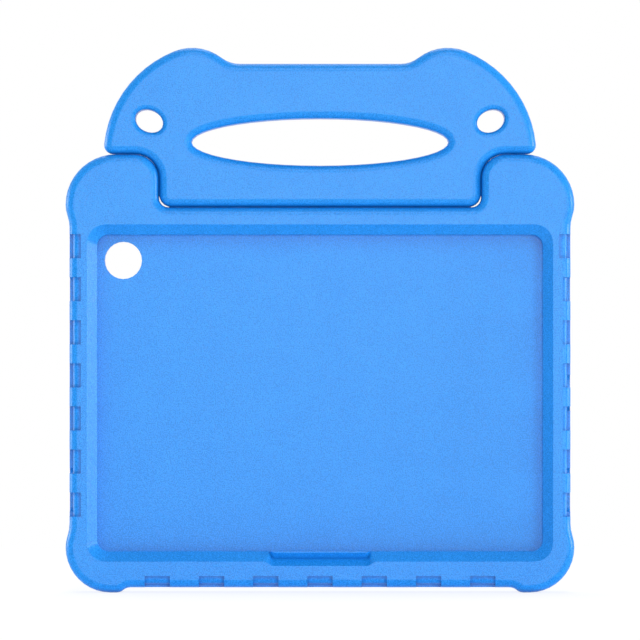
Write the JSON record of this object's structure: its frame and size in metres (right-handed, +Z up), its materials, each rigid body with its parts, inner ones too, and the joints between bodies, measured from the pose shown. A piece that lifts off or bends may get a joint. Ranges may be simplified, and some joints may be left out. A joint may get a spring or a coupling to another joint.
{
  "type": "kids tablet case",
  "caption": "Thick foam tablet case with bulged corners, a bevelled window over an open pocket, gripped edges, and a carrying handle that folds back as a stand.",
  "frame": {"origin": "bottom centre of the overall box: mid width and mid thickness, level with the flats of the feet that it stands on", "axes": "+X to the viewer's right, +Z up from the feet to the handle, the open front faces -Y"},
  "size_m": [0.2726, 0.025, 0.2919],
  "materials": {
    "foam": "matte closed-cell foam",
    "hinge_plastic": "satin"
  },
  "bodies": {
    "case": {"case_body": "foam", "hinge_socket_left": "hinge_plastic", "hinge_socket_right": "hinge_plastic"},
    "handle": {"handle": "foam", "hinge_peg_left": "hinge_plastic", "hinge_peg_right": "hinge_plastic"}
  },
  "joints": [
    {"name": "handle_fold", "type": "hinge", "parent": "case", "child": "handle", "pos_m": [0, 0, 0.2196], "axis": [-1, 0, 0], "range_deg": [0, 100]}
  ]
}
